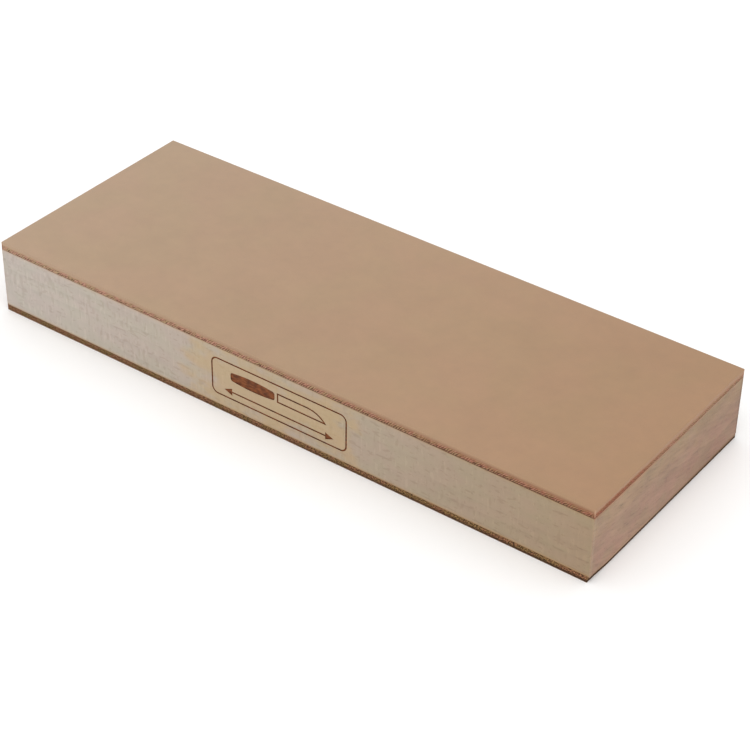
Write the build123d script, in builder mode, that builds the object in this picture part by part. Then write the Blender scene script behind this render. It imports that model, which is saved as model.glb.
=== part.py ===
from build123d import *
import os

# A two-sided bench strop: a hardwood block with leather glued to both wide faces.
# Frame: origin at the centre of the underside, +X along the length, +Z up,
# -Y is the long edge that carries the engraved mark.

# ---- driving dimensions, millimetres ----

block_length = 203.2        # 8 in, the standard bench-stone length
block_width = 76.2          # 3 in
block_thickness = 19.05     # 3/4 in planed stock
block_edge_radius = 0.1     # upright corners eased with sandpaper

top_leather_thickness = 2.5
top_corner_radius = 0.15
top_edge_radius = 0.1       # the upper rim is only just broken by use

bottom_leather_thickness = 1.9
bottom_corner_radius = 0.15
bottom_edge_radius = 0.08
bottom_end_gap = 0.3        # the lower leather stops short of the block at its +X end

glue_thickness = 0.1
glue_setback = 0.15         # the film stays just inside the edges of the block

# The engraved mark on the front edge: a plain frame round a carving knife and a
# two-headed arrow that shows the stroke.
mark_depth = 0.2
mark_line = 0.5
mark_offset = 1.4           # from the middle of the front edge towards +X
frame_length = 47.0
frame_height = 12.4
frame_corner_radius = 2.2
handle_length = 15.5
handle_height = 3.8         # at the palm swell
handle_end_height = 2.6
handle_corner_radius = 0.8
blade_length = 17.0
blade_height = 3.2
blade_point_run = 6.5       # length of the curved drop from spine to point
tool_rise = 1.7             # knife centre above the middle of the frame
bolster_gap = 0.8           # plain wood between handle and blade
arrow_length = 38.0
arrow_head_length = 2.8
arrow_head_height = 2.4
arrow_drop = 3.5            # arrow centre below the middle of the frame

# ---- heights of the layers above the bench ----

bottom_glue_base = bottom_leather_thickness
block_base = bottom_glue_base + glue_thickness
top_glue_base = block_base + block_thickness
top_leather_base = top_glue_base + glue_thickness

os.makedirs("parts", exist_ok=True)


# ---- lower leather, flesh side out ----

with BuildPart() as bottom_leather:
    with BuildSketch(Plane.XY):
        with Locations((-bottom_end_gap / 2, 0)):
            RectangleRounded(block_length - bottom_end_gap, block_width, bottom_corner_radius)
    extrude(amount=bottom_leather_thickness)
    underside = bottom_leather.faces().sort_by(Axis.Z)[0]
    fillet(underside.edges(), radius=bottom_edge_radius)


# ---- contact-cement films ----

with BuildPart() as bottom_glue_film:
    with BuildSketch(Plane.XY.offset(bottom_glue_base)):
        with Locations((-bottom_end_gap / 2, 0)):
            RectangleRounded(
                block_length - bottom_end_gap - 2 * glue_setback,
                block_width - 2 * glue_setback,
                bottom_corner_radius,
            )
    extrude(amount=glue_thickness)

with BuildPart() as top_glue_film:
    with BuildSketch(Plane.XY.offset(top_glue_base)):
        RectangleRounded(
            block_length - 2 * glue_setback,
            block_width - 2 * glue_setback,
            top_corner_radius,
        )
    extrude(amount=glue_thickness)


# ---- hardwood block with its engraved mark ----

mark_plane = Plane(
    origin=(mark_offset, -block_width / 2, block_base + block_thickness / 2),
    x_dir=(1, 0, 0),
    z_dir=(0, -1, 0),
)
knife_length = handle_length + bolster_gap + blade_length
handle_start = -knife_length / 2
handle_end = handle_start + handle_length
handle_centre = handle_start + handle_length / 2
blade_start = handle_end + bolster_gap
blade_end = blade_start + blade_length
blade_top = tool_rise + blade_height / 2
blade_bottom = tool_rise - blade_height / 2
point_start = blade_end - blade_point_run
arrow_shaft_length = arrow_length - 2 * arrow_head_length

with BuildSketch(mark_plane) as mark_frame:
    RectangleRounded(frame_length, frame_height, frame_corner_radius)
    offset(amount=-mark_line, mode=Mode.SUBTRACT)

with BuildSketch(mark_plane) as mark_blade:
    with BuildLine():
        cutting_edge = Line((blade_start, blade_bottom), (blade_end, blade_bottom))
        spine = Line((point_start, blade_top), (blade_start, blade_top))
        TangentArc(spine @ 0, cutting_edge @ 1, tangent=(1, 0))
        Line(spine @ 1, cutting_edge @ 0)
    make_face()
    offset(amount=-mark_line, mode=Mode.SUBTRACT)

with BuildSketch(mark_plane) as mark_handle:
    with BuildLine():
        back_edge = ThreePointArc(
            (handle_start, tool_rise + handle_end_height / 2),
            (handle_centre, tool_rise + handle_height / 2),
            (handle_end, tool_rise + handle_end_height / 2),
        )
        front_end = Line(back_edge @ 1, (handle_end, tool_rise - handle_end_height / 2))
        belly = ThreePointArc(
            front_end @ 1,
            (handle_centre, tool_rise - handle_height / 2),
            (handle_start, tool_rise - handle_end_height / 2),
        )
        Line(belly @ 1, back_edge @ 0)
    make_face()
    fillet(mark_handle.vertices(), radius=handle_corner_radius)

with BuildSketch(mark_plane) as mark_arrow:
    with Locations((0, -arrow_drop)):
        Rectangle(arrow_shaft_length, mark_line)
    for side in (-1, 1):
        head_base = side * arrow_shaft_length / 2
        with BuildLine():
            Polyline(
                (head_base, -arrow_drop - arrow_head_height / 2),
                (side * arrow_length / 2, -arrow_drop),
                (head_base, -arrow_drop + arrow_head_height / 2),
                close=True,
            )
        make_face()

with BuildPart() as wood_block:
    with BuildSketch(Plane.XY.offset(block_base)):
        Rectangle(block_length, block_width)
    extrude(amount=block_thickness)
    fillet(wood_block.edges().filter_by(Axis.Z), radius=block_edge_radius)
    for engraving in (mark_frame, mark_blade, mark_handle, mark_arrow):
        extrude(engraving.sketch, amount=-mark_depth, mode=Mode.SUBTRACT)


# ---- upper leather, smooth grain side out ----

with BuildPart() as top_leather:
    with BuildSketch(Plane.XY.offset(top_leather_base)):
        RectangleRounded(block_length, block_width, top_corner_radius)
    extrude(amount=top_leather_thickness)
    strop_face = top_leather.faces().sort_by(Axis.Z)[-1]
    fillet(strop_face.edges(), radius=top_edge_radius)


# ---- labels and files ----

bottom_leather.part.label = "bottom_leather"
bottom_glue_film.part.label = "bottom_glue_film"
wood_block.part.label = "wood_block"
top_glue_film.part.label = "top_glue_film"
top_leather.part.label = "top_leather"

for piece in (bottom_leather, bottom_glue_film, wood_block, top_glue_film, top_leather):
    export_step(piece.part, f"parts/{piece.part.label}.step")
    print(piece.part.label, round(piece.part.volume, 2), piece.part.bounding_box())
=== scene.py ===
"""Looks for the two-sided bench strop: hardwood block, leather above and below, contact cement between.

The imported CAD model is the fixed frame. The block keeps its CAD shape, and the soft layers are rebuilt
here as detailed meshes: cut edges with torn fibres, a rolled upper rim and an uneven line of cement.
"""

import math

import bpy
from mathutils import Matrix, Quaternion, Vector, noise


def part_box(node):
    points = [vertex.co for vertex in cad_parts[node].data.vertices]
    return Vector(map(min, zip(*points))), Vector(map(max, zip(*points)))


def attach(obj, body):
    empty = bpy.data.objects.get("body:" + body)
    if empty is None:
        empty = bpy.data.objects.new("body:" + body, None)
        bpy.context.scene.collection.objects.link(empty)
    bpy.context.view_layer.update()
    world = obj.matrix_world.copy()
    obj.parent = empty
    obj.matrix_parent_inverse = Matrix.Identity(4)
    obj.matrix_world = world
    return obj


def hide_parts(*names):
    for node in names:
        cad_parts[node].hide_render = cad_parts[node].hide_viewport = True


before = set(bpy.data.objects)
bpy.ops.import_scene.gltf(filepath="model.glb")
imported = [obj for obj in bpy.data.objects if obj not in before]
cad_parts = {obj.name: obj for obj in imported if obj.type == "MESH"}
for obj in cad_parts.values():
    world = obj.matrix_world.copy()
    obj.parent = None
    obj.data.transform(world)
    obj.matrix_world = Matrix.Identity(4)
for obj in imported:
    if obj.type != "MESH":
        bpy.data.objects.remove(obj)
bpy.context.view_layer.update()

MM = 0.001

# ---- places taken from the frame ----

block_low, block_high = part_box("wood_block")
block_centre = (block_low + block_high) / 2
block_half = (block_high - block_low) / 2
top_low, top_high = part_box("top_leather")
bottom_low, bottom_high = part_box("bottom_leather")

# ---- the engraved mark on the front edge, as the CAD model has it ----

MARK_OFFSET = 1.4 * MM
MARK_HALF_LENGTH = 23.5 * MM
MARK_HALF_HEIGHT = 6.2 * MM


def srgb(red, green, blue):
    """An 8-bit display colour as linear RGBA."""
    linear = []
    for value in (red, green, blue):
        share = value / 255
        linear.append(share / 12.92 if share <= 0.04045 else ((share + 0.055) / 1.055) ** 2.4)
    return (*linear, 1.0)


def smooth_step(low, high, value):
    share = min(max((value - low) / (high - low), 0.0), 1.0)
    return share * share * (3 - 2 * share)


# ---- camera ----

CAMERA_AZIMUTH = 36.0
CAMERA_ELEVATION = 35.65
CAMERA_ROLL = 0.944
CAMERA_DISTANCE = 590.3 * MM
CAMERA_LENS = 102.44
CAMERA_SENSOR = 36.0
CAMERA_AIM = Vector((14.8, -11.9, 12.0)) * MM


def make_camera():
    azimuth = math.radians(CAMERA_AZIMUTH)
    elevation = math.radians(CAMERA_ELEVATION)
    back = Vector((
        math.sin(azimuth) * math.cos(elevation),
        -math.cos(azimuth) * math.cos(elevation),
        math.sin(elevation),
    ))
    data = bpy.data.cameras.new("studio_camera")
    data.lens = CAMERA_LENS
    data.sensor_width = CAMERA_SENSOR
    data.clip_start = 0.01
    data.clip_end = 20
    camera = bpy.data.objects.new("studio_camera", data)
    camera.location = CAMERA_AIM + back * CAMERA_DISTANCE
    camera.rotation_mode = "QUATERNION"
    roll = Quaternion((0, 0, 1), math.radians(CAMERA_ROLL))
    camera.rotation_quaternion = (-back).to_track_quat("-Z", "Y") @ roll
    bpy.context.scene.collection.objects.link(camera)
    bpy.context.scene.camera = camera


# ---- studio ----

SOFTBOX_PLACE = (0.2, -0.45, 1.0)
SOFTBOX_SIZE = 0.8
SOFTBOX_POWER = 2.65
SOFTBOX_COLOUR = (1.0, 0.99, 0.97)
SKY_COLOUR = (1.0, 1.0, 1.0, 1.0)
FLOOR_COLOUR = (0.98, 0.98, 0.98, 1.0)
FLOOR_REACH = 6.0


def make_lamp(name, place, aim, size, power, colour):
    data = bpy.data.lights.new(name, "AREA")
    data.shape = "DISK"
    data.size = size
    data.energy = power
    data.color = colour
    lamp = bpy.data.objects.new(name, data)
    lamp.location = place
    lamp.rotation_mode = "QUATERNION"
    lamp.rotation_quaternion = (Vector(aim) - Vector(place)).to_track_quat("-Z", "Y")
    bpy.context.scene.collection.objects.link(lamp)


def make_studio():
    world = bpy.data.worlds.new("soft_studio")
    world.use_nodes = True
    sky = world.node_tree.nodes["Background"]
    sky.inputs["Color"].default_value = SKY_COLOUR
    sky.inputs["Strength"].default_value = 1.0
    bpy.context.scene.world = world
    view = bpy.context.scene.view_settings
    view.view_transform = "Standard"
    view.look = "None"
    make_lamp("softbox", SOFTBOX_PLACE, (0, 0, 0), SOFTBOX_SIZE, SOFTBOX_POWER, SOFTBOX_COLOUR)

    floor_mesh = bpy.data.meshes.new("floor")
    signs = [(-1, -1), (1, -1), (1, 1), (-1, 1)]
    corners = [(sign_x * FLOOR_REACH, sign_y * FLOOR_REACH, 0) for sign_x, sign_y in signs]
    floor_mesh.from_pydata(corners, [], [(0, 1, 2, 3)])
    floor = bpy.data.objects.new("floor", floor_mesh)
    bpy.context.scene.collection.objects.link(floor)
    material = bpy.data.materials.new("studio_floor")
    material.use_nodes = True
    surface = material.node_tree.nodes["Principled BSDF"]
    surface.inputs["Base Color"].default_value = FLOOR_COLOUR
    surface.inputs["Roughness"].default_value = 0.9
    surface.inputs["Specular IOR Level"].default_value = 0.1
    floor.data.materials.append(material)


# ---- material helper ----

class Recipe:
    """A procedural material, written as a chain of sums on the place in millimetres."""

    def __init__(self, name, specular):
        self.material = bpy.data.materials.new(name)
        self.material.use_nodes = True
        self.tree = self.material.node_tree
        self.surface = self.tree.nodes["Principled BSDF"]
        self.surface.inputs["Specular IOR Level"].default_value = specular
        place = self.tree.nodes.new("ShaderNodeTexCoord").outputs["Object"]
        self.place = self.scaled(place, (1 / MM, 1 / MM, 1 / MM))
        parts = self.tree.nodes.new("ShaderNodeSeparateXYZ")
        self.tree.links.new(self.place, parts.inputs[0])
        self.x, self.y, self.z = parts.outputs

    def feed(self, socket, value):
        if isinstance(value, bpy.types.NodeSocket):
            self.tree.links.new(value, socket)
        else:
            socket.default_value = value

    def scaled(self, vector, factors):
        node = self.tree.nodes.new("ShaderNodeVectorMath")
        node.operation = "MULTIPLY"
        self.feed(node.inputs[0], vector)
        self.feed(node.inputs[1], factors)
        return node.outputs[0]

    def shifted(self, vector, offset):
        node = self.tree.nodes.new("ShaderNodeVectorMath")
        node.operation = "ADD"
        self.feed(node.inputs[0], vector)
        self.feed(node.inputs[1], offset)
        return node.outputs[0]

    def vector(self, x, y, z):
        node = self.tree.nodes.new("ShaderNodeCombineXYZ")
        for socket, value in zip(node.inputs, (x, y, z)):
            self.feed(socket, value)
        return node.outputs[0]

    def math(self, operation, first, second=0.0, third=0.0):
        node = self.tree.nodes.new("ShaderNodeMath")
        node.operation = operation
        for socket, value in zip(node.inputs, (first, second, third)):
            self.feed(socket, value)
        return node.outputs[0]

    def between(self, value, low, high, to_low=0.0, to_high=1.0, curve="SMOOTHSTEP"):
        """A step, smooth or LINEAR, from to_low to to_high as value goes from low to high."""
        node = self.tree.nodes.new("ShaderNodeMapRange")
        node.interpolation_type = curve
        for socket, given in zip(node.inputs, (value, low, high, to_low, to_high)):
            self.feed(socket, given)
        return node.outputs[0]

    def noise(self, vector, scale=1.0, detail=2.0, roughness=0.5):
        node = self.tree.nodes.new("ShaderNodeTexNoise")
        self.feed(node.inputs["Vector"], vector)
        node.inputs["Scale"].default_value = scale
        node.inputs["Detail"].default_value = detail
        node.inputs["Roughness"].default_value = roughness
        return node.outputs["Fac"]

    def cells(self, vector, scale):
        node = self.tree.nodes.new("ShaderNodeTexVoronoi")
        self.feed(node.inputs["Vector"], vector)
        node.inputs["Scale"].default_value = scale
        return node.outputs["Distance"]

    def mix(self, share, first, second, blend="MIX"):
        node = self.tree.nodes.new("ShaderNodeMix")
        node.data_type = "RGBA"
        node.blend_type = blend
        colour_inputs = [socket for socket in node.inputs if socket.type == "RGBA"]
        self.feed(node.inputs[0], share)
        self.feed(colour_inputs[0], first)
        self.feed(colour_inputs[1], second)
        return [socket for socket in node.outputs if socket.type == "RGBA"][0]

    def shade(self, colour, amount):
        """colour times one plus amount, where amount is small and about zero."""
        node = self.tree.nodes.new("ShaderNodeVectorMath")
        node.operation = "SCALE"
        self.feed(node.inputs[0], colour)
        self.feed(node.inputs["Scale"], self.math("ADD", amount, 1.0))
        return node.outputs[0]

    def swing(self, value, size):
        """A noise value, about 0.5, as a change between about -size and +size."""
        return self.math("MULTIPLY", self.math("SUBTRACT", value, 0.5), 2 * size)

    def total(self, *values):
        result = values[0]
        for value in values[1:]:
            result = self.math("ADD", result, value)
        return result

    def product(self, *values):
        result = values[0]
        for value in values[1:]:
            result = self.math("MULTIPLY", result, value)
        return result

    def line(self, value, slope, start):
        """value times slope, plus start."""
        return self.math("MULTIPLY_ADD", value, slope, start)

    def near_side(self, value, half, start, full):
        """Rises from 0 to 1 near both sides, at -half and +half: from start inside them to full inside."""
        return self.between(self.math("ABSOLUTE", value), half - start, half - full)

    def bump(self, heights):
        """heights is a list of (value, depth in millimetres)."""
        normal = None
        for value, depth in heights:
            node = self.tree.nodes.new("ShaderNodeBump")
            node.inputs["Strength"].default_value = 1.0
            node.inputs["Distance"].default_value = depth * MM
            self.feed(node.inputs["Height"], value)
            if normal is not None:
                self.tree.links.new(normal, node.inputs["Normal"])
            normal = node.outputs[0]
        self.tree.links.new(normal, self.surface.inputs["Normal"])

    def finish(self, colour, roughness):
        self.feed(self.surface.inputs["Base Color"], colour)
        self.feed(self.surface.inputs["Roughness"], roughness)
        return self.material


# ---- wood ----

# The board is flat-sawn, so its rings run nearly level through the block: their centre, the pith,
# lies far below and a little towards the front edge.
PITH_Y = -40.0
PITH_Z = -160.0
RING_SPACING = 3.8
RING_WANDER = 4.0

WOOD_LEFT = srgb(185, 175, 165)
WOOD_RIGHT = srgb(154, 132, 105)
WOOD_END_TAN = srgb(157, 130, 102)
WOOD_END_PINK = srgb(159, 126, 106)
WOOD_CORNER_HIGHLIGHT = srgb(176, 155, 126)
WOOD_STAIN = srgb(196, 152, 104)
WOOD_STAIN_BELOW = srgb(164, 126, 80)
WOOD_STAIN_END = srgb(174, 136, 108)
WOOD_JOINT_SHADE = srgb(104, 72, 46)
WOOD_SCORCH = srgb(182, 151, 101)
CHAR_DARK = srgb(80, 40, 15)
CHAR_BROWN = srgb(130, 72, 34)
BURN_PITCH = 0.3
PINKISH = (1.018, 0.985, 1.002, 1.0)
GREENISH = (0.986, 1.012, 0.98, 1.0)
FLECK = (0.905, 0.885, 0.865, 1.0)
EDGE_HIGHLIGHT = (1.04, 1.015, 0.975, 1.0)
END_STAIN = (0.985, 0.845, 0.8, 1.0)
END_FAR = (0.9, 0.86, 0.83, 1.0)


def wood_material():
    recipe = Recipe("bare_maple", specular=0.35)
    half_x, half_y, half_z = (side / MM for side in block_half)

    warp = recipe.noise(recipe.scaled(recipe.place, (0.011, 0.05, 0.05)), detail=2)
    side = recipe.math("SUBTRACT", recipe.y, PITH_Y)
    rise = recipe.math("SUBTRACT", recipe.z, PITH_Z)
    reach = recipe.math("SQRT", recipe.total(recipe.product(side, side), recipe.product(rise, rise)))
    radius = recipe.total(reach, recipe.swing(warp, RING_WANDER))
    around = recipe.product(recipe.math("ARCTAN2", side, rise), -PITH_Z)
    turned = recipe.vector(recipe.x, around, radius)

    # growth rings: each darkens slowly outwards and stops at a thin late-wood line
    uneven = recipe.noise(recipe.vector(0.0, 0.0, radius), scale=0.13, detail=1)
    phase = recipe.total(recipe.math("DIVIDE", radius, RING_SPACING), recipe.swing(uneven, 1.1))
    saw = recipe.math("FRACT", phase)
    ring_end = recipe.between(saw, 0.93, 1.0, 1.0, 0.0)
    late = recipe.product(recipe.between(saw, 0.35, 0.93), ring_end)
    late_line = recipe.product(recipe.between(saw, 0.78, 0.92), ring_end)

    # rays: ribbons that run out from the pith, seen as upright flecks on the long edges,
    # plainest towards the -X end
    along = recipe.between(recipe.x, -half_x, half_x, curve="LINEAR")
    crowd = recipe.noise(recipe.scaled(recipe.place, (0.045, 0.08, 0.1)), detail=2)
    fewer = recipe.total(recipe.swing(crowd, -0.2), recipe.product(along, 0.08))
    fine_field = recipe.noise(recipe.scaled(turned, (1.4, 2.6, 0.34)), detail=0.0)
    fine_rays = recipe.between(recipe.math("SUBTRACT", fine_field, fewer), 0.69, 0.76)
    broad_place = recipe.shifted(recipe.scaled(turned, (0.8, 1.4, 0.28)), (3, 9, 2))
    broad_field = recipe.noise(broad_place, detail=0.0)
    broad_rays = recipe.between(recipe.math("SUBTRACT", broad_field, fewer), 0.67, 0.75)
    pale_place = recipe.shifted(recipe.scaled(turned, (1.3, 2.4, 0.3)), (7, 3, 5))
    pale_field = recipe.noise(pale_place, detail=0.5)
    pale_rays = recipe.between(pale_field, 0.65, 0.69)

    # vessels: short dashes strung along the late wood, plainest towards the +X end, and dots
    dash_field = recipe.noise(recipe.scaled(turned, (0.45, 1.4, 1.2)), detail=0.0)
    sparse = recipe.noise(recipe.scaled(turned, (0.2, 0.2, 0.2)), detail=1)
    dash_share = recipe.total(
        dash_field,
        recipe.swing(sparse, 0.12),
        recipe.product(late_line, along, 0.19),
    )
    dashes = recipe.between(dash_share, 0.7, 0.78)
    speck_field = recipe.noise(recipe.scaled(turned, (1.1, 1.8, 1.4)), detail=0)
    specks = recipe.between(speck_field, 0.725, 0.785)

    # planing has left faint upright bands on the long edges, and the saw sloping ones on the ends
    flakes = recipe.noise(recipe.scaled(turned, (1.1, 1.4, 0.4)), detail=2, roughness=0.6)
    bands = recipe.noise(recipe.vector(
        recipe.product(recipe.x, 0.8),
        0.0,
        recipe.product(recipe.z, 0.06),
    ), detail=1)
    across = recipe.total(recipe.z, recipe.product(recipe.y, 0.25))
    saw_marks = recipe.noise(recipe.vector(0.0, recipe.product(recipe.y, 0.14), across), detail=2)
    end_field = recipe.noise(recipe.vector(
        5.0,
        recipe.product(recipe.y, 0.3),
        recipe.product(across, 1.6),
    ), detail=1)
    fibres = recipe.noise(recipe.scaled(turned, (0.06, 1.7, 1.7)), detail=3)
    clouds = recipe.noise(recipe.scaled(recipe.place, (0.035, 0.06, 0.1)), detail=3)
    patch_place = recipe.shifted(recipe.scaled(recipe.place, (0.13, 0.12, 0.2)), (5, 1, 8))
    patches = recipe.noise(patch_place, detail=2)
    blush_place = recipe.shifted(recipe.scaled(recipe.place, (0.1, 0.13, 0.17)), (9, 4, 2))
    blush = recipe.noise(blush_place, detail=2)

    # the long edges go from pale at -X to tan at +X, partly the wood's own tone and partly painted light
    # that falls off towards +X; the ends are tan with pinker lower parts
    colour = recipe.mix(along, WOOD_LEFT, WOOD_RIGHT)
    end_share = recipe.near_side(recipe.x, half_x, 0.3, 0.05)
    from_middle = recipe.math("SUBTRACT", recipe.z, block_centre.z / MM)
    pink_share = recipe.between(recipe.total(from_middle, recipe.swing(blush, 14.0)), 6.5, 1.0)
    end_tone = recipe.mix(pink_share, WOOD_END_TAN, WOOD_END_PINK)
    end_tone = recipe.mix(recipe.between(recipe.y, -8, 32), end_tone, END_FAR, blend="MULTIPLY")
    colour = recipe.mix(recipe.product(end_share, 0.9), colour, end_tone)
    tint = recipe.mix(recipe.between(blush, 0.36, 0.62), GREENISH, PINKISH)
    colour = recipe.mix(recipe.line(end_share, 0.2, 0.8), colour, tint, blend="MULTIPLY")
    colour = recipe.mix(recipe.product(end_share, 0.6), colour, tint, blend="MULTIPLY")

    # a dark ring dips across the end towards the far edge, with a pale one above it
    dip = recipe.total(recipe.z, recipe.product(recipe.y, 0.125), recipe.swing(patches, 2.5))
    ring_band = recipe.total(
        recipe.product(recipe.between(dip, 7.5, 11.6), recipe.between(dip, 12.0, 11.7, 0.0, -0.08)),
        recipe.product(recipe.between(dip, 11.7, 12.0), recipe.between(dip, 14.5, 12.2, 0.0, 0.04)),
    )
    ring_band = recipe.product(ring_band, end_share, recipe.between(recipe.y, -12, 6))
    streaks = recipe.product(
        recipe.between(end_field, 0.58, 0.68),
        end_share,
        recipe.between(recipe.y, 20, -20, 0.5, 1.0),
    )
    colour = recipe.shade(colour, recipe.total(
        recipe.product(late, recipe.between(crowd, 0.4, 0.65, -0.015, -0.06)),
        recipe.between(recipe.x, -78, -100, -0.03, -0.06),
        recipe.product(streaks, -0.15),
        recipe.product(end_share, recipe.swing(saw_marks, 0.19)),
        recipe.product(recipe.swing(bands, 0.045), recipe.math("SUBTRACT", 1.0, end_share)),
        recipe.swing(flakes, 0.035),
        recipe.product(pale_rays, recipe.line(end_share, -0.07, 0.07)),
        recipe.swing(fibres, 0.025),
        recipe.swing(clouds, 0.05),
        ring_band,
        recipe.product(recipe.swing(patches, 0.13), recipe.line(end_share, 1.5, 0.15)),
    ))
    flecks = recipe.total(
        recipe.product(fine_rays, 0.75),
        recipe.product(broad_rays, 0.8),
        dashes,
        recipe.product(specks, 1.2),
    )
    flecks = recipe.product(recipe.line(end_share, -0.5, 1.0), flecks)
    colour = recipe.mix(flecks, colour, FLECK, blend="MULTIPLY")

    # a painted highlight pales the long edge just short of the leather, above and below, towards the front
    from_face = recipe.math("SUBTRACT", half_z, recipe.math("ABSOLUTE", from_middle))
    edge_highlight = recipe.product(
        recipe.between(from_face, 1.1, 0.75),
        recipe.between(from_face, 0.3, 0.5),
        recipe.between(recipe.y, 5, -20),
    )
    colour = recipe.mix(edge_highlight, colour, EDGE_HIGHLIGHT, blend="MULTIPLY")

    # cement has soaked a little way into the wood above and below
    stain_above = recipe.product(
        recipe.between(from_middle, half_z - 0.5, half_z - 0.05),
        recipe.line(along, 0.35, 0.25),
    )
    stain_below = recipe.product(
        recipe.between(from_middle, 0.65 - half_z, 0.15 - half_z),
        recipe.line(along, 0.3, 0.5),
    )
    stain_tone = recipe.mix(end_share, recipe.mix(along, WOOD_STAIN, WOOD_STAIN_BELOW), WOOD_STAIN_END)
    colour = recipe.mix(stain_above, colour, stain_tone)
    colour = recipe.mix(stain_below, colour, recipe.mix(end_share, WOOD_STAIN_BELOW, end_tone))
    soaked = recipe.product(
        recipe.between(from_middle, half_z - 0.9, half_z - 0.2),
        end_share,
        recipe.between(recipe.y, 28, 6),
    )
    colour = recipe.mix(soaked, colour, END_STAIN, blend="MULTIPLY")
    # painted shade: a dark line on the wood right at the leather, stronger towards +X and faint on the
    # ends
    joint_shade = recipe.product(
        recipe.between(from_face, 0.2, 0.05),
        recipe.between(recipe.x, -60, 90, 0.0, 0.75),
        recipe.line(end_share, -0.8, 1.0),
    )
    colour = recipe.mix(joint_shade, colour, WOOD_JOINT_SHADE)

    # the upright corners of the front, eased by sandpaper, carry a painted highlight, and those of the
    # back carry painted shade
    corner_highlight = recipe.product(
        recipe.near_side(recipe.x, half_x, 0.35, 0.1),
        recipe.near_side(recipe.y, half_y, 1.3, 0.7),
        recipe.between(recipe.y, 20, -20, 0.0, 0.22),
    )
    colour = recipe.mix(corner_highlight, colour, WOOD_CORNER_HIGHLIGHT)
    back_corner_shade = recipe.product(end_share, recipe.between(recipe.y, half_y - 1.6, half_y - 0.4, 0.0, -0.2))
    colour = recipe.shade(colour, back_corner_shade)

    # the mark: a pale brown scorch round its lines, reaching further on the -X side, and char
    # in its grooves
    from_side = recipe.math(
        "SUBTRACT",
        recipe.math("ABSOLUTE", recipe.math("SUBTRACT", recipe.x, MARK_OFFSET / MM)),
        MARK_HALF_LENGTH / MM,
    )
    from_level = recipe.math("SUBTRACT", recipe.math("ABSOLUTE", from_middle), MARK_HALF_HEIGHT / MM)
    outside = recipe.math("MAXIMUM", from_side, from_level)
    front = recipe.between(recipe.y, 1.5 - half_y, 1.0 - half_y)
    smoke = recipe.noise(recipe.scaled(recipe.place, (0.14, 0.14, 0.26)), detail=3)
    drift = recipe.product(recipe.x, 0.09)
    scorch = recipe.product(front, recipe.between(
        recipe.total(outside, drift, recipe.swing(smoke, 14.0)), 8.0, -3.0
    ))
    colour = recipe.mix(recipe.product(scorch, 0.5), colour, WOOD_SCORCH)
    inside = recipe.between(outside, 0.3, 0.2)
    depth = recipe.math("ADD", recipe.y, half_y)
    groove = recipe.product(inside, front, recipe.between(depth, 0.015, 0.06))
    char_field = recipe.noise(recipe.scaled(recipe.place, (0.5, 0.5, 1.2)), detail=2)
    passes = recipe.math("SINE", recipe.product(recipe.z, 2 * math.pi / BURN_PITCH))
    char_depth = recipe.total(recipe.between(char_field, 0.3, 0.7), recipe.product(passes, 0.2))
    char = recipe.mix(char_depth, CHAR_DARK, CHAR_BROWN)
    colour = recipe.mix(groove, colour, char)

    scratches = recipe.noise(recipe.scaled(recipe.place, (0.5, 6.0, 6.0)), detail=2)
    recipe.bump([
        (fibres, 0.05),
        (recipe.product(dashes, -1.0), 0.03),
        (scratches, 0.02),
    ])
    roughness = recipe.total(0.58, recipe.swing(fibres, 0.12), recipe.product(groove, 0.25))
    return recipe.finish(colour, roughness)


# ---- leather and cement ----

GRAIN_LEFT = srgb(168, 142, 117)
GRAIN_RIGHT = srgb(159, 125, 94)
RIM_LEFT = srgb(171, 143, 116)
RIM_RIGHT = srgb(138, 95, 66)
RIM_END = srgb(160, 119, 89)
RIM_CORNER_HIGHLIGHT = srgb(186, 148, 122)
FIBRE_LEFT = srgb(167, 135, 110)
FIBRE_RIGHT = srgb(142, 94, 64)
FIBRE_DARK = srgb(84, 53, 34)
FIBRE_PALE = srgb(205, 174, 146)
REDDISH = (1.1, 0.93, 1.0, 1.0)
OLIVE = (0.94, 1.0, 0.86, 1.0)
SUEDE_RED = (1.1, 0.95, 1.0, 1.0)
SUEDE_OLIVE = (0.95, 1.01, 0.82, 1.0)
END_FIBRE_NEAR = srgb(139, 81, 54)
END_FIBRE_FAR = srgb(150, 114, 87)
SUEDE_DARK = srgb(126, 96, 70)
SUEDE_LIGHT = srgb(161, 129, 99)
STRAND_LIGHT_LEFT = srgb(134, 104, 73)
STRAND_LIGHT_RIGHT = srgb(169, 127, 88)
STRAND_DARK_LEFT = srgb(83, 56, 34)
STRAND_DARK_RIGHT = srgb(38, 21, 9)
STRAND_LOWEST = srgb(49, 29, 15)
CUT_END_NEAR = srgb(182, 151, 126)
CUT_END_FAR = srgb(149, 119, 96)
# painted shadow in the cement seam, darker and paler
SEAM_SHADE_DARK = srgb(78, 53, 33)
SEAM_SHADE_PALE = srgb(144, 117, 94)
AMBER_DARK = srgb(144, 113, 88)
AMBER_LIGHT = srgb(165, 136, 109)

# knife strokes on the cut edges: their spacing, and their lean on the long edges and on the ends
STROKE_PITCH = 0.76
STROKE_SLANT = -1.0
STROKE_SLANT_END = 1.5


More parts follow.
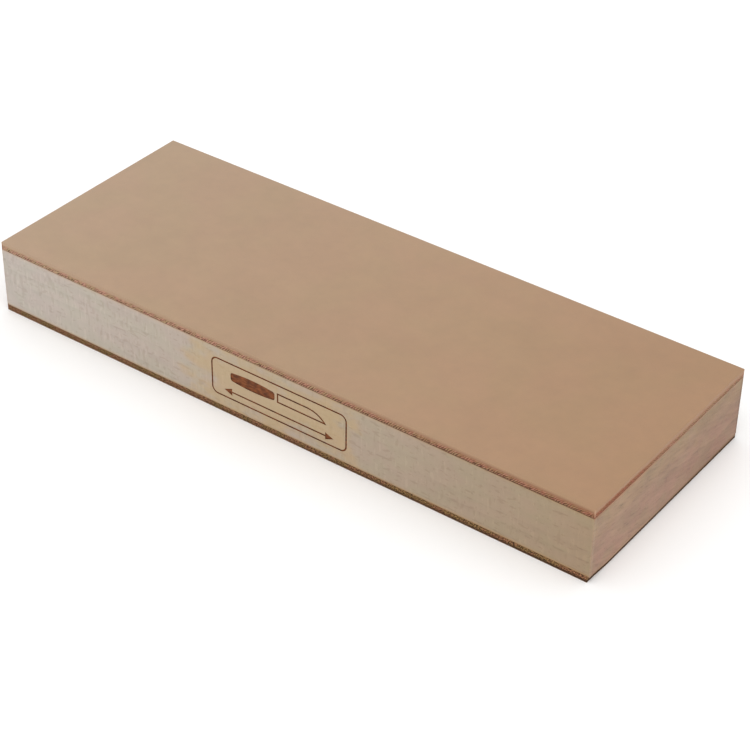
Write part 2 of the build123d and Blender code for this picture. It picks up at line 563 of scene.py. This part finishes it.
def grain_leather_material():
    """Smooth vegetable-tanned leather, with a burnished fibre edge below its rolled rim."""
    recipe = Recipe("tan_grain_leather", specular=0.35)
    base = top_low.z / MM
    half_x = block_half.x / MM
    along = recipe.between(recipe.x, -half_x, half_x, curve="LINEAR")
    clouds = recipe.noise(recipe.scaled(recipe.place, (0.018, 0.03, 0.03)), detail=3)
    patches = recipe.noise(recipe.place, scale=0.1, detail=2)
    mottle = recipe.noise(recipe.place, scale=0.35, detail=4, roughness=0.6)
    pores = recipe.cells(recipe.place, scale=2.2)
    fine = recipe.noise(recipe.place, scale=3.2, detail=3, roughness=0.65)

    # the grain goes from paler at -X to warmer tan at +X: partly the leather's own tone, partly a painted
    # sheen and painted light brighter towards -X
    grain = recipe.mix(along, GRAIN_LEFT, GRAIN_RIGHT)
    grain = recipe.shade(grain, recipe.total(
        recipe.swing(clouds, 0.05),
        recipe.swing(patches, 0.055),
        recipe.swing(mottle, 0.07),
        recipe.swing(fine, 0.03),
    ))
    warmth_place = recipe.shifted(recipe.scaled(recipe.place, (0.05, 0.05, 0.05)), (4, 8, 1))
    warmth = recipe.noise(warmth_place, detail=3)
    tint = recipe.mix(recipe.between(warmth, 0.36, 0.62), GREENISH, PINKISH)
    grain = recipe.mix(0.5, grain, tint, blend="MULTIPLY")

    # the cut edge: slanted knife strokes across the fibres, redder at the +X end
    height = recipe.math("SUBTRACT", recipe.z, base)
    at_end = recipe.near_side(recipe.x, half_x, 0.6, 0.3)
    far = recipe.between(recipe.y, -30, 10)
    slant = recipe.line(at_end, STROKE_SLANT_END - STROKE_SLANT, STROKE_SLANT)
    run = recipe.total(recipe.x, recipe.y, recipe.product(height, slant))
    waver = recipe.noise(recipe.scaled(recipe.place, (0.5, 0.5, 0.5)), detail=2)
    strokes = recipe.math("SINE", recipe.total(
        recipe.product(run, 2 * math.pi / STROKE_PITCH),
        recipe.swing(waver, 5.0),
    ))
    torn = recipe.noise(recipe.vector(
        recipe.product(run, 2.1),
        recipe.product(height, 1.1),
        0.0,
    ), detail=2, roughness=0.6)
    strands = recipe.total(torn, recipe.product(strokes, 0.13))
    ragged = recipe.noise(recipe.scaled(recipe.place, (0.9, 0.9, 0.4)), detail=3, roughness=0.6)
    level = recipe.total(
        height,
        recipe.swing(ragged, 0.5),
        recipe.product(strokes, 0.08),
        recipe.product(at_end, recipe.line(far, 0.33, -0.08)),
    )
    soft = recipe.between(recipe.x, -half_x, half_x, 1.2, 0.85, curve="LINEAR")
    cut = recipe.between(level, 1.78, soft)
    # the top of the cut edge turns from the grain's colour to the rim tone: the edge's own redder colour,
    # with painted shade where it turns down from the face
    rim = recipe.between(height, 2.45, 1.5)
    end_fibre = recipe.mix(far, END_FIBRE_NEAR, END_FIBRE_FAR)
    bright = recipe.mix(at_end, recipe.mix(along, FIBRE_LEFT, FIBRE_RIGHT), end_fibre)
    blush = recipe.noise(recipe.vector(
        recipe.product(run, 0.6),
        recipe.product(height, 0.6),
        recipe.y,
    ), detail=2)
    deep = recipe.between(height, 1.6, 0.4, 0.4, 1.0)
    plain = recipe.line(at_end, -0.5, 1.0)
    ticks = recipe.product(recipe.between(strands, 0.5, 0.62), deep, plain)
    fibre = recipe.mix(ticks, bright, FIBRE_DARK)
    glints = recipe.product(recipe.between(strands, 0.45, 0.33), plain, recipe.line(along, -0.2, 0.45))
    fibre = recipe.mix(glints, fibre, FIBRE_PALE)
    fibre_tint = recipe.mix(recipe.between(blush, 0.38, 0.62), OLIVE, REDDISH)
    fibre = recipe.mix(1.0, fibre, fibre_tint, blend="MULTIPLY")
    darker = recipe.product(
        along,
        recipe.math("SUBTRACT", 1.0, at_end),
        recipe.between(height, 1.2, 0.1, 0.0, -0.16),
    )
    fibre = recipe.shade(fibre, darker)
    rim_tone_and_shade = recipe.mix(at_end, recipe.mix(along, RIM_LEFT, RIM_RIGHT), RIM_END)
    colour = recipe.mix(rim, grain, rim_tone_and_shade)
    colour = recipe.mix(cut, colour, fibre)

    # the upright corners carry a painted highlight
    corner_highlight = recipe.product(
        recipe.near_side(recipe.x, half_x, 0.4, 0.1),
        recipe.near_side(recipe.y, block_half.y / MM, 0.4, 0.1),
        recipe.between(height, 0.2, 0.6, 0.0, 0.55),
    )
    colour = recipe.mix(corner_highlight, colour, RIM_CORNER_HIGHLIGHT)

    recipe.bump([
        (recipe.between(pores, 0.0, 0.35), 0.012),
        (fine, 0.02),
        (recipe.product(strands, cut), 0.18),
    ])
    roughness = recipe.total(0.52, recipe.swing(mottle, 0.1), recipe.product(cut, 0.3))
    return recipe.finish(colour, roughness)


def suede_leather_material():
    """The lower leather: napped flesh side down, and a darker burnished cut edge."""
    recipe = Recipe("brown_suede_leather", specular=0.2)
    thickness = bottom_high.z / MM
    nap = recipe.noise(recipe.place, scale=1.6, detail=4, roughness=0.7)
    clouds = recipe.noise(recipe.place, scale=0.05, detail=3)
    suede = recipe.mix(recipe.between(nap, 0.35, 0.65), SUEDE_DARK, SUEDE_LIGHT)
    suede = recipe.shade(suede, recipe.swing(clouds, 0.12))

    half_x = bottom_high.x / MM
    at_end = recipe.near_side(recipe.x, half_x, 0.6, 0.3)
    slant = recipe.line(at_end, STROKE_SLANT_END - STROKE_SLANT, STROKE_SLANT)
    run = recipe.total(recipe.x, recipe.y, recipe.product(recipe.z, slant))
    blotches = recipe.noise(recipe.vector(
        recipe.product(run, 0.26),
        recipe.product(recipe.z, 0.2),
        recipe.y,
    ), detail=2, roughness=0.6)
    strands = recipe.noise(recipe.vector(
        recipe.product(run, 3.0),
        recipe.product(recipe.z, 2.4),
        0.0,
    ), detail=3, roughness=0.65)
    along = recipe.between(recipe.x, -block_half.x / MM, block_half.x / MM, curve="LINEAR")
    light = recipe.mix(along, STRAND_LIGHT_LEFT, STRAND_LIGHT_RIGHT)
    dark = recipe.mix(along, STRAND_DARK_LEFT, STRAND_DARK_RIGHT)
    fibre = recipe.mix(recipe.between(strands, 0.42, 0.56), light, dark)
    tint = recipe.mix(recipe.between(blotches, 0.42, 0.58), SUEDE_OLIVE, SUEDE_RED)
    fibre = recipe.mix(1.0, fibre, tint, blend="MULTIPLY")
    lowest = recipe.product(recipe.between(recipe.z, 1.25, 0.45), recipe.line(along, 0.8, 0.08))
    fibre = recipe.mix(lowest, fibre, STRAND_LOWEST)
    front = bottom_low.y / MM
    upper = recipe.product(
        recipe.between(recipe.z, thickness - 1.2, thickness - 0.85),
        at_end,
        recipe.between(recipe.y, front + 1, front + 8),
    )
    cut_end = recipe.mix(recipe.between(recipe.y, -30, 30), CUT_END_NEAR, CUT_END_FAR)
    fibre = recipe.mix(upper, fibre, cut_end)
    colour = recipe.mix(recipe.between(recipe.z, 0.05, 0.2), suede, fibre)
    recipe.bump([(nap, 0.12), (strands, 0.15)])
    return recipe.finish(colour, recipe.total(0.84, recipe.swing(nap, 0.1)))


def cement_material():
    """Cement painted dark brown along the long edges as the shadow in the seam, and left amber on the
    ends.
    """
    recipe = Recipe("amber_cement", specular=0.5)
    lumps = recipe.noise(recipe.place, scale=0.8, detail=3)
    at_end = recipe.near_side(recipe.x, bottom_high.x / MM, 1.0, 0.5)
    above = recipe.between(recipe.z, bottom_high.z / MM + 1, top_low.z / MM - 1)
    # painted shadow in the seam, paler on the upper film towards -X
    pale = recipe.product(above, recipe.between(recipe.x, 60, -50))
    seam_shade = recipe.mix(pale, SEAM_SHADE_DARK, SEAM_SHADE_PALE)
    seam_shade = recipe.shade(seam_shade, recipe.swing(lumps, 0.35))
    amber = recipe.mix(recipe.between(lumps, 0.35, 0.65), AMBER_DARK, AMBER_LIGHT)
    recipe.bump([(lumps, 0.05)])
    return recipe.finish(recipe.mix(at_end, seam_shade, amber), recipe.total(0.42, recipe.swing(lumps, 0.2)))


# ---- meshes ----

OUTLINE_STEP = 0.3 * MM
ARC_STEPS = 8
RIM_STEPS = 5


def side_counts(low, high):
    """How many outline steps the sides along X and along Y take."""
    return round((high.x - low.x) / OUTLINE_STEP), round((high.y - low.y) / OUTLINE_STEP)


def rounded_outline(low, high, radius, inset):
    """Points round a rounded rectangle set in by inset, with the same number at every inset."""
    centre_x = (low.x + high.x) / 2
    centre_y = (low.y + high.y) / 2
    half_x = (high.x - low.x) / 2 - inset
    half_y = (high.y - low.y) / 2 - inset
    arc = min(radius + 0.12 * inset, 0.98 * half_y)
    count_x, count_y = side_counts(low, high)
    points = []
    # each corner in turn, anticlockwise from the one at +X -Y, with the straight side before it
    corners = [(1, -1, count_x), (1, 1, count_y), (-1, 1, count_x), (-1, -1, count_y)]
    for index, (sign_x, sign_y, count) in enumerate(corners):
        hub = Vector((centre_x + sign_x * (half_x - arc), centre_y + sign_y * (half_y - arc)))
        last_x, last_y, _ = corners[index - 1]
        last_hub = Vector((centre_x + last_x * (half_x - arc), centre_y + last_y * (half_y - arc)))
        start_angle = -math.pi / 2 + index * math.pi / 2
        outward = Vector((math.cos(start_angle), math.sin(start_angle)))
        for step in range(1, count):
            along = last_hub.lerp(hub, step / count)
            points.append((along + outward * arc, outward))
        for step in range(ARC_STEPS + 1):
            angle = start_angle + step / ARC_STEPS * math.pi / 2
            direction = Vector((math.cos(angle), math.sin(angle)))
            points.append((hub + direction * arc, direction))
    return points


def shell_mesh(name, rings, counts):
    """A closed skin through rings of equal length, with both ends filled from side to side."""
    total = len(rings[0])
    vertices = [point for ring in rings for point in ring]
    faces = []
    for level in range(len(rings) - 1):
        for index in range(total):
            after = (index + 1) % total
            faces.append((
                level * total + index,
                level * total + after,
                (level + 1) * total + after,
                (level + 1) * total + index,
            ))
    count_x, count_y = counts
    side = count_x - 1 + ARC_STEPS + 1
    end = count_y - 1 + ARC_STEPS + 1
    for level, flip in ((0, True), (len(rings) - 1, False)):
        base = level * total
        front = list(range(base, base + count_x - 1))
        back = list(range(base + side + end, base + side + end + count_x - 1))[::-1]
        for index in range(count_x - 2):
            quad = (front[index], front[index + 1], back[index + 1], back[index])
            faces.append(quad[::-1] if flip else quad)
        right = [front[-1], *range(base + count_x - 1, base + side + end), back[-1]]
        left = [back[0], *range(base + side + end + count_x - 1, base + total), front[0]]
        for cap in (right, left):
            faces.append(tuple(cap[::-1] if flip else cap))
    mesh = bpy.data.meshes.new(name)
    mesh.from_pydata(vertices, [], faces)
    mesh.validate()
    mesh.polygons.foreach_set("use_smooth", [True] * len(mesh.polygons))
    return mesh


def rumple(point, scale, seed):
    """Smooth noise between about -1 and 1 at a place, with features of about scale metres."""
    return noise.noise(Vector((point[0], point[1], point[2])) / scale + Vector((seed, 0, 0)))


# sizes of the unevenness: waves and torn fibres along the cut edges, swells on the faces
WAVE_SIZE = 5 * MM
TEAR_SIZE = 0.3 * MM
SWELL_SIZE = 22 * MM


def make_pad(name, node, profile, radius, edge_wear, face_wear, seed):
    """A sheet of leather in the box of its CAD node. profile lists (inset, height share) pairs from the
    middle of the underside, round the edge, to the middle of the upper face."""
    low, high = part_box(node)
    thickness = high.z - low.z
    rings = []
    for inset, share in profile:
        level = low.z + share * thickness
        edge = smooth_step(1.6 * MM, 0.2 * MM, inset)
        ring = []
        for point, outward in rounded_outline(low, high, radius, inset):
            place = (point.x, point.y, level)
            wave = 0.5 + 0.5 * rumple(place, WAVE_SIZE, seed)
            slant = STROKE_SLANT / 2 * level
            slanted = (point.x + slant, point.y + slant, level / 3)
            tooth = abs(rumple(slanted, STROKE_PITCH * MM, seed + 7))
            tear = abs(rumple(place, TEAR_SIZE, seed + 13))
            sink = edge * edge_wear * (0.35 * wave + 0.45 * tooth + 0.2 * tear)
            swell = 0.5 + 0.5 * rumple(place, SWELL_SIZE, seed + 19)
            lift = face_wear * swell * smooth_step(0, 4 * MM, inset)
            inward = point - outward * sink
            ring.append((inward.x, inward.y, level - lift if share > 0.5 else level + lift))
        rings.append(ring)
    pad = bpy.data.objects.new(name, shell_mesh(name, rings, side_counts(low, high)))
    bpy.context.scene.collection.objects.link(pad)
    return pad


def make_top_leather():
    """Cut square, with its upper rim just broken where strokes have pressed the grain down."""
    roll_width = 0.12 * MM
    roll_start = 0.93
    face_insets = [0.25, 0.5, 0.9, 1.6, 3.2, 6.0, 10.0, 15.5, 22.0, 28.0, 34.0]
    profile = [(inset * MM, 0.0) for inset in (34, 24, 14, 6, 2, 0.5, 0.06)]
    profile += [(0.0, share) for share in (0.02, 0.1, 0.2, 0.3, 0.4, 0.5, 0.6, 0.7, 0.79, 0.87)]
    for step in range(RIM_STEPS + 1):
        turn = step / RIM_STEPS * math.pi / 2
        share = roll_start + (1 - roll_start) * math.sin(turn)
        profile.append((roll_width * (1 - math.cos(turn)), share))
    profile += [(inset * MM, 1.0) for inset in face_insets]
    pad = make_pad(
        "top_leather_pad", "top_leather", profile, 0.1 * MM,
        edge_wear=0.06 * MM, face_wear=0.05 * MM, seed=3.1,
    )
    pad.data.materials.append(grain_leather_material())
    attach(pad, "root")
    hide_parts("top_leather")
    return pad


# how far the lower leather is cut short or stands proud, and over what length of its edges
SLANTED_CUT = 0.35 * MM
CUT_ALONG_X = 8 * MM
CUT_ALONG_Y = 11 * MM
OVERHANG = 0.5 * MM
OVERHANG_ALONG_X = 50 * MM
OVERHANG_ALONG_Y = 8 * MM


def make_bottom_leather():
    """Napped flesh side down. At the +X end it is cut a little short where it meets the front edge,
    and it stands a little proud of the hidden long edge."""
    rim = 0.06 * MM
    profile = [(inset * MM, 0.0) for inset in (34, 28, 22, 16.5, 11.5, 7.5, 4.5, 2.6, 1.4, 0.8)]
    for step in range(RIM_STEPS + 1):
        turn = step / RIM_STEPS * math.pi / 2
        profile.append((rim * (1 - math.sin(turn)), 0.04 * (1 - math.cos(turn))))
    profile += [(0.0, share) for share in (0.15, 0.27, 0.39, 0.51, 0.63, 0.75, 0.87, 0.95, 0.99)]
    profile += [(inset * MM, 1.0) for inset in (0.06, 0.5, 2, 6, 14, 24, 34)]
    pad = make_pad(
        "bottom_leather_pad", "bottom_leather", profile, 0.1 * MM,
        edge_wear=0.04 * MM, face_wear=0.04 * MM, seed=41.7,
    )
    for vertex in pad.data.vertices:
        near_corner = smooth_step(bottom_low.y + CUT_ALONG_Y, bottom_low.y, vertex.co.y)
        near_end = smooth_step(bottom_high.x - CUT_ALONG_X, bottom_high.x, vertex.co.x)
        vertex.co.x -= SLANTED_CUT * near_corner * near_end
        far_side = smooth_step(bottom_high.y - OVERHANG_ALONG_Y, bottom_high.y, vertex.co.y)
        far_part = smooth_step(bottom_high.x - OVERHANG_ALONG_X, bottom_high.x, vertex.co.x)
        vertex.co.y += OVERHANG * far_side * far_part
    pad.data.materials.append(suede_leather_material())
    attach(pad, "root")
    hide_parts("bottom_leather")
    return pad


BEAD_SIZE = 3.5 * MM


def make_cement(name, node, seed):
    """The film of cement, squeezed out unevenly to the edge of the block."""
    low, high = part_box(node)
    squeeze = 0.112 * MM
    radius = 0.3 * MM
    rings = []
    middle = (low.z + high.z) / 2
    # inset in millimetres, height, and how far the bead bulges there beyond the squeezed-out edge
    stations = [(24, low.z, 0.0), (4, low.z, 0.0), (0, low.z, 0.0), (0, middle, 0.03 * MM)]
    stations += [(0, high.z, 0.0), (4, high.z, 0.0), (24, high.z, 0.0)]
    for inset, level, bead in stations:
        ring = []
        for point, outward in rounded_outline(low, high, radius, inset * MM):
            push = 0.0
            if inset == 0:
                wave = 0.5 + 0.5 * rumple((point.x, point.y, 0), BEAD_SIZE, seed)
                push = squeeze * wave + bead
            moved = point + outward * push
            ring.append((moved.x, moved.y, level))
        rings.append(ring)
    film = bpy.data.objects.new(name, shell_mesh(name, rings, side_counts(low, high)))
    bpy.context.scene.collection.objects.link(film)
    film.data.materials.append(cement_material())
    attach(film, "root")
    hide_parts(node)


def dress_block():
    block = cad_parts["wood_block"]
    block.data.materials.clear()
    block.data.materials.append(wood_material())


make_camera()
make_studio()
dress_block()
top_pad = make_top_leather()
bottom_pad = make_bottom_leather()
make_cement("top_cement_film", "top_glue_film", seed=5.3)
make_cement("bottom_cement_film", "bottom_glue_film", seed=17.9)
